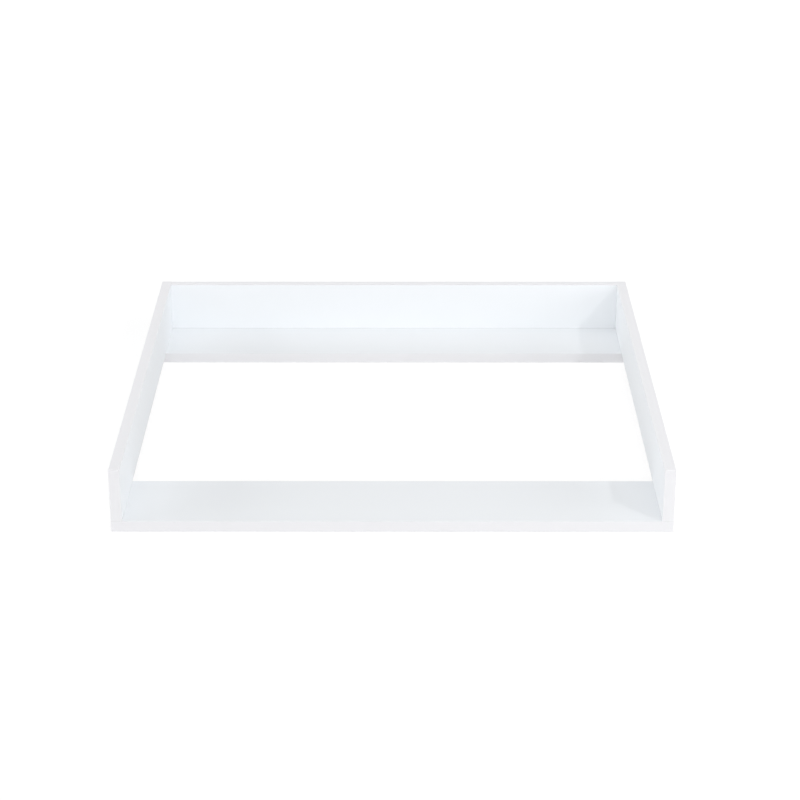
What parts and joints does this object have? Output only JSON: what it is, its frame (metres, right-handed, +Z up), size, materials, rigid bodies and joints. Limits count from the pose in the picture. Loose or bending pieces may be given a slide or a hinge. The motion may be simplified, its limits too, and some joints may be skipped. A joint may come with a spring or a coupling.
{
  "type": "changing top",
  "caption": "Open frame changing top for a chest of drawers: flat front and rear boards, raised sides and back around an open middle, with a low front for reaching the mat.",
  "frame": {"origin": "middle of the footprint, in the plane of the bottom boards' undersides", "axes": "+X to the right seen from the open front, +Y to the back panel, +Z up"},
  "size_m": [0.8032, 0.78, 0.096],
  "materials": {
    "white_board": "white melamine-faced particle board, satin with a fine pearl texture",
    "white_band": "white edge band, satin",
    "zinc_screw": "bright zinc plate",
    "beech_dowel": "raw beech, fluted",
    "white_cap": "white moulded cover cap, satin"
  },
  "bodies": {
    "root": {"front_board": "white_board", "rear_board": "white_board", "left_side_panel": "white_board", "right_side_panel": "white_board", "back_panel": "white_board", "front_board_front_band": "white_band", "front_board_rear_band": "white_band", "front_board_left_band": "white_band", "front_board_right_band": "white_band", "rear_board_front_band": "white_band", "rear_board_rear_band": "white_band", "rear_board_left_band": "white_band", "rear_board_right_band": "white_band", "left_side_top_band": "white_band", "left_side_bottom_band": "white_band", "left_side_front_band": "white_band", "left_side_rear_band": "white_band", "right_side_top_band": "white_band", "right_side_bottom_band": "white_band", "right_side_front_band": "white_band", "right_side_rear_band": "white_band", "back_panel_top_band": "white_band", "front_board_screws": "zinc_screw", "rear_board_screws": "zinc_screw", "back_panel_screws": "zinc_screw", "corner_screws": "zinc_screw", "front_board_dowels": "beech_dowel", "rear_board_dowels": "beech_dowel", "back_panel_dowels": "beech_dowel", "corner_dowels": "beech_dowel", "corner_screw_caps": "white_cap"}
  },
  "joints": []
}
